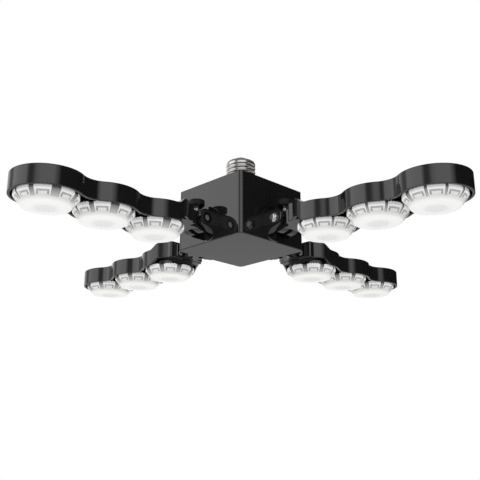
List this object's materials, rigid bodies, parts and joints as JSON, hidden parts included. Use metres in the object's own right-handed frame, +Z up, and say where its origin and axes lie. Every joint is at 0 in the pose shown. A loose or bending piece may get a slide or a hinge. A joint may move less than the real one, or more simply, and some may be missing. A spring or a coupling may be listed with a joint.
{
  "type": "foldable LED grow light bulb",
  "caption": "Screw-in LED grow light bulb: a square driver housing under a standard lamp base, with hinged arms that carry domed lens modules and fold down.",
  "frame": {"origin": "on the screw base's axis, halfway up the plain skirt of its screw shell", "axes": "+Z up along the base's axis into the lamp holder; +X and +Y along two of the four arms when they are spread flat"},
  "size_m": [0.4338, 0.4338, 0.0967],
  "materials": {
    "gloss_black": "high gloss moulded black",
    "black_screw": "black-coated steel",
    "nickel": "nickel-plated drawn shell",
    "base_insulator": "moulded insulating ring",
    "contact": "tinned cap",
    "lead_sheath": "insulated lead",
    "driver_board": "resin board",
    "steel_screw": "zinc-plated",
    "ferrite": "dark ferrite with tape-wrapped winding",
    "capacitor_sleeve": "sleeved can",
    "chrome_bolt": "bright plated",
    "washer": "spring steel",
    "lens": "translucent white dome, clear crown",
    "led_board": "white-coated metal board",
    "led_chip": "phosphor-coated chip"
  },
  "bodies": {
    "housing": {"housing_shell": "gloss_black", "top_cover": "gloss_black", "cover_screws": "black_screw", "screw_shell": "nickel", "base_insulator": "base_insulator", "centre_contact": "contact", "base_leads": "lead_sheath", "driver_board": "driver_board", "driver_screws": "steel_screw", "driver_transformer": "ferrite", "driver_capacitors": "capacitor_sleeve", "bracket_screws": "steel_screw", "pivot_bolts": "chrome_bolt", "pivot_nuts": "black_screw", "hinge_washers": "washer", "feed_leads": "lead_sheath", "hinge_bracket_1": "gloss_black", "hinge_bracket_2": "gloss_black", "hinge_bracket_3": "gloss_black", "hinge_bracket_4": "gloss_black"},
    "arm_1": {"arm_frame_1": "gloss_black", "arm_knuckle_1": "gloss_black", "arm_screws_1": "steel_screw", "lock_screw_1": "chrome_bolt", "lens_inner_1": "lens", "lens_middle_1": "lens", "lens_outer_1": "lens", "led_board_1": "led_board", "led_chips_1": "led_chip", "arm_leads_1": "lead_sheath"},
    "arm_2": {"arm_frame_2": "gloss_black", "arm_knuckle_2": "gloss_black", "arm_screws_2": "steel_screw", "lock_screw_2": "chrome_bolt", "lens_inner_2": "lens", "lens_middle_2": "lens", "lens_outer_2": "lens", "led_board_2": "led_board", "led_chips_2": "led_chip", "arm_leads_2": "lead_sheath"},
    "arm_3": {"arm_frame_3": "gloss_black", "arm_knuckle_3": "gloss_black", "arm_screws_3": "steel_screw", "lock_screw_3": "chrome_bolt", "lens_inner_3": "lens", "lens_middle_3": "lens", "lens_outer_3": "lens", "led_board_3": "led_board", "led_chips_3": "led_chip", "arm_leads_3": "lead_sheath"},
    "arm_4": {"arm_frame_4": "gloss_black", "arm_knuckle_4": "gloss_black", "arm_screws_4": "steel_screw", "lock_screw_4": "chrome_bolt", "lens_inner_4": "lens", "lens_middle_4": "lens", "lens_outer_4": "lens", "led_board_4": "led_board", "led_chips_4": "led_chip", "arm_leads_4": "lead_sheath"}
  },
  "joints": [
    {"name": "fold_1", "type": "hinge", "parent": "housing", "child": "arm_1", "pos_m": [0.0515, 0, -0.0463], "axis": [0, 1, 0], "range_deg": [0, 90]},
    {"name": "fold_2", "type": "hinge", "parent": "housing", "child": "arm_2", "pos_m": [0, 0.0515, -0.0463], "axis": [-1, 0, 0], "range_deg": [0, 90]},
    {"name": "fold_3", "type": "hinge", "parent": "housing", "child": "arm_3", "pos_m": [-0.0515, 0, -0.0463], "axis": [0, -1, 0], "range_deg": [0, 90]},
    {"name": "fold_4", "type": "hinge", "parent": "housing", "child": "arm_4", "pos_m": [0, -0.0515, -0.0463], "axis": [1, 0, 0], "range_deg": [0, 90]}
  ]
}
